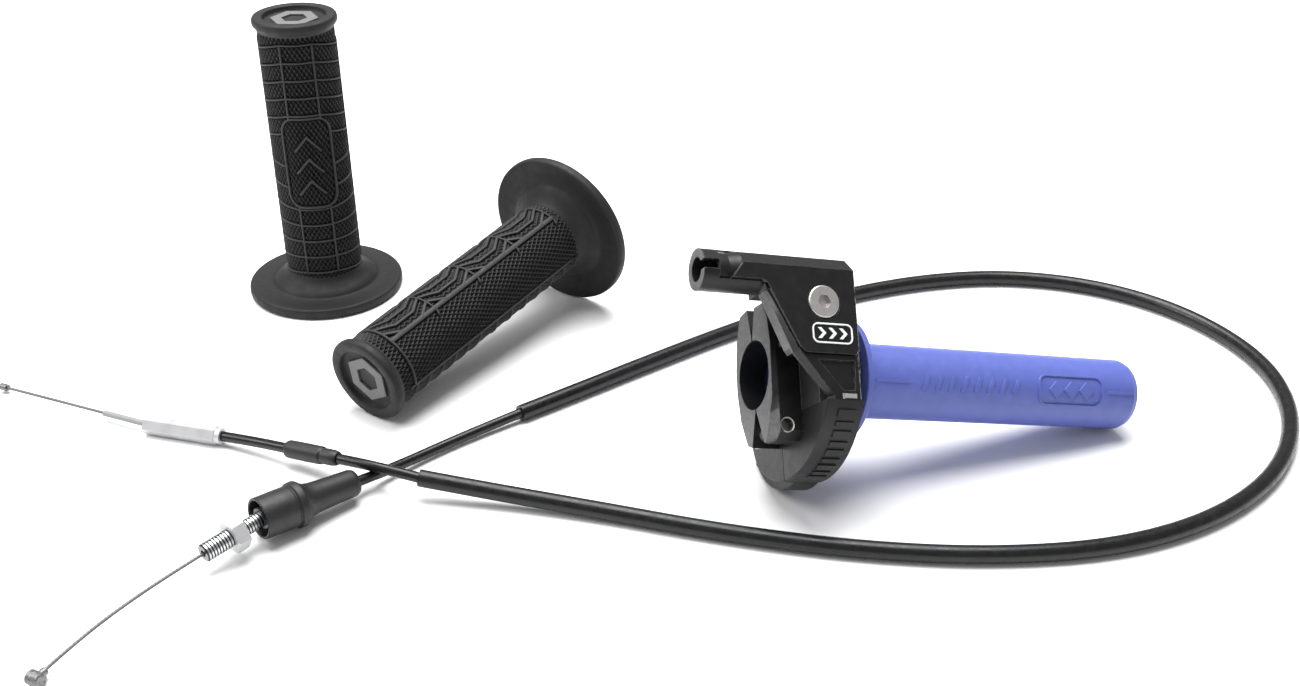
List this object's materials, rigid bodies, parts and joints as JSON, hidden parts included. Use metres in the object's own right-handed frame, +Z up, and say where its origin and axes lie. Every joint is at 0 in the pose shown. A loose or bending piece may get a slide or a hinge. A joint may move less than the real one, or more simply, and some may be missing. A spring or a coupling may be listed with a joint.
{
  "type": "throttle grip kit",
  "caption": "Motorcycle throttle kit: clamped cable-roller housing with a twist tube, a free cable with adjuster and nipples, and a pair of flanged rubber grips.",
  "frame": {"origin": "Centre of the bounding box of the throttle and the two grips, on the table they lie on; the free cable is left out of it", "axes": "+Z up; +X along the layout's long side, the way the twist tube points; -Y towards the side that shows the roller cover"},
  "size_m": [0.4705, 0.2709, 0.115],
  "materials": {
    "anodised_black": "black anodised, fine bead-blasted",
    "black_moulding": "moulded",
    "stainless": "turned stainless",
    "badge_silver": "printed light grey",
    "reel_metal": "machined",
    "blue_plastic": "satin blue nylon",
    "grip_rubber": "knurled black rubber",
    "grey_rubber": "smooth grey",
    "conduit_black": "glossy",
    "sleeve_black": "glossy",
    "wire_steel": "stranded",
    "zinc": "bright zinc",
    "liner_white": "white liner",
    "boot_rubber": "smooth black rubber"
  },
  "bodies": {
    "housing": {"housing_body": "anodised_black", "clamp_cap": "anodised_black", "clamp_bolts": "stainless", "roller_cover": "anodised_black", "cover_screw": "stainless", "cover_badge": "badge_silver", "roller_axle": "stainless", "reel_cover_front": "black_moulding", "reel_cover_rear": "black_moulding", "end_plate": "anodised_black", "cable_conduit_a": "conduit_black", "cable_sleeve": "sleeve_black", "cable_conduit_b": "conduit_black", "cable_liner": "liner_white", "cable_ferrule": "zinc", "cable_collar": "boot_rubber", "cable_boot": "boot_rubber", "cable_adjuster": "zinc", "cable_locknut": "zinc"},
    "twist_tube": {"throttle_tube": "blue_plastic", "cable_reel": "reel_metal"},
    "roller": {"cable_roller": "reel_metal", "roller_bearing": "stainless"},
    "inner_wire_b": {"cable_wire_b": "wire_steel", "cable_nipple_b": "zinc"},
    "inner_wire_a": {"cable_wire_a": "wire_steel", "cable_nipple_a": "zinc"},
    "left_grip": {"grip_left_flange": "grip_rubber", "grip_left_barrel": "grip_rubber", "grip_left_end_mark": "grey_rubber"},
    "right_grip": {"grip_right_flange": "grip_rubber", "grip_right_barrel": "grip_rubber", "grip_right_end_mark": "grey_rubber"}
  },
  "joints": [
    {"name": "throttle_twist", "type": "hinge", "parent": "housing", "child": "twist_tube", "pos_m": [0.0318, -0.0721, 0.0423], "axis": [0.9362, 0.272, -0.2224], "range_deg": [0, 80]},
    {"name": "roller_spin", "type": "hinge", "parent": "housing", "child": "roller", "pos_m": [0.04946, -0.07191, 0.06651], "axis": [-0.3494, 0.6539, -0.6711], "continuous": true},
    {"name": "wire_b_slide", "type": "slide", "parent": "housing", "child": "inner_wire_b", "axis": [-0.6531, -0.7553, -0.0547], "range_m": [-0.009, 0.009]},
    {"name": "wire_a_slide", "type": "slide", "parent": "housing", "child": "inner_wire_a", "axis": [-0.9148, 0.4034, -0.018], "range_m": [-0.009, 0.009]},
    {"name": "left_grip_lift", "type": "slide", "parent": "housing", "child": "left_grip", "axis": [0, 0, 1], "range_m": [0, 0.12]},
    {"name": "right_grip_lift", "type": "slide", "parent": "housing", "child": "right_grip", "axis": [0, 0, 1], "range_m": [0, 0.08]}
  ],
  "couplings": [
    {"joint": "wire_a_slide", "follows": "wire_b_slide", "ratio": -1}
  ]
}
